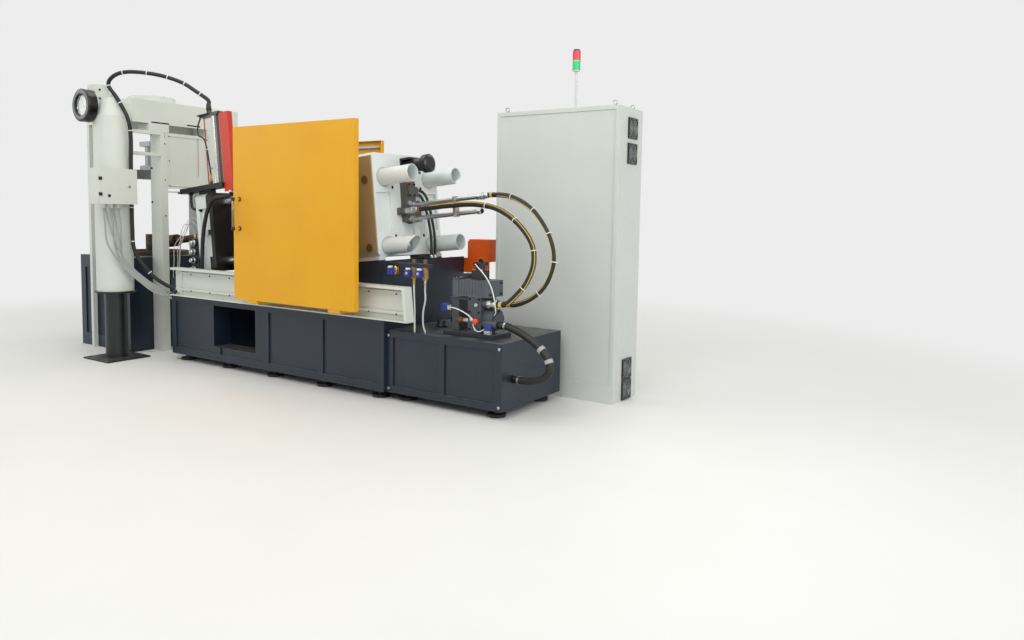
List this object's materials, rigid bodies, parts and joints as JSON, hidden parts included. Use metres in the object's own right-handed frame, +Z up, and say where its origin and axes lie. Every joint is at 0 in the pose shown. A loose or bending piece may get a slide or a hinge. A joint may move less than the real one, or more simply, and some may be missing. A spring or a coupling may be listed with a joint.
{
  "type": "die casting machine",
  "caption": "Hot-chamber die casting machine with tilted toggle clamp, furnace end with fume hood, sliding guard door, pump set and free-standing control cabinet.",
  "frame": {"origin": "centre of the bounding box on the floor", "axes": "+X along the machine from the furnace to the tail and the cabinet, +Y from the door side to the cabinet side, +Z up"},
  "size_m": [5.452, 1.848, 2.612],
  "materials": {
    "navy_paint": "semi-gloss enamel on welded steel",
    "cream_paint": "satin enamel on sheet steel",
    "casting_paint": "enamel on iron castings",
    "tan_paint": "stained enamel on a steel side plate",
    "yellow_paint": "powder coat on sheet steel",
    "cabinet_paint": "textured powder coat",
    "red_paint": "enamel",
    "orange_paint": "gloss enamel",
    "ground_steel": "ground and oiled",
    "chrome_rod": "hard chrome",
    "machined_block": "machined steel",
    "die_steel": "heat-darkened tool steel",
    "hot_iron": "scaled cast iron",
    "black_enamel": "black enamel",
    "gauge_plastic": "moulded bezel",
    "pump_paint": "grey machine paint on castings",
    "valve_blue": "blue enamel on brass valves",
    "hose_rubber": "hydraulic hose",
    "lamp_plastic": "signal lamps on an aluminium pole"
  },
  "bodies": {
    "machine": {"bed_side_beams": "navy_paint", "bed_cross_blocks": "navy_paint", "bed_feet": "black_enamel", "bed_rails": "cream_paint", "fixed_platen": "casting_paint", "moving_platen": "casting_paint", "tail_platen": "casting_paint", "tail_side_cover": "tan_paint", "tie_bars": "ground_steel", "tie_bar_covers": "casting_paint", "die_height_motor": "black_enamel", "toggle_links": "machined_block", "crosshead": "ground_steel", "closing_cylinder": "machined_block", "cover_die": "die_steel", "ejector_die": "die_steel", "rear_guard": "yellow_paint", "fume_hood": "cream_paint", "hood_frame": "cream_paint", "hood_panel": "cream_paint", "furnace_body": "navy_paint", "furnace_pot": "hot_iron", "shot_unit": "machined_block", "nozzle": "hot_iron", "accumulator": "cream_paint", "accumulator_stand": "black_enamel", "pressure_gauge": "gauge_plastic", "junction_box": "cream_paint", "spray_base": "black_enamel", "spray_channel": "red_paint", "spray_rods": "chrome_rod", "valve_stack": "pump_paint", "oil_tank": "navy_paint", "pump_set": "pump_paint", "water_valves": "valve_blue", "terminal_box": "orange_paint", "closing_hoses": "hose_rubber", "lube_hoses": "hose_rubber", "spray_harness": "hose_rubber", "cable_trunk": "cabinet_paint", "cabinet_body": "cabinet_paint", "cabinet_fans": "black_enamel", "tower_light": "lamp_plastic"},
    "front_door": {"front_door": "yellow_paint"},
    "box_door": {"junction_box_door": "cream_paint"}
  },
  "joints": [
    {"name": "front_door_slide", "type": "slide", "parent": "machine", "child": "front_door", "axis": [-1, 0, 0], "range_m": [0, 0.968]},
    {"name": "box_door_hinge", "type": "hinge", "parent": "machine", "child": "box_door", "pos_m": [-1.435, -0.917, 1.553], "axis": [0, 0, -1], "range_deg": [0, 110]}
  ]
}
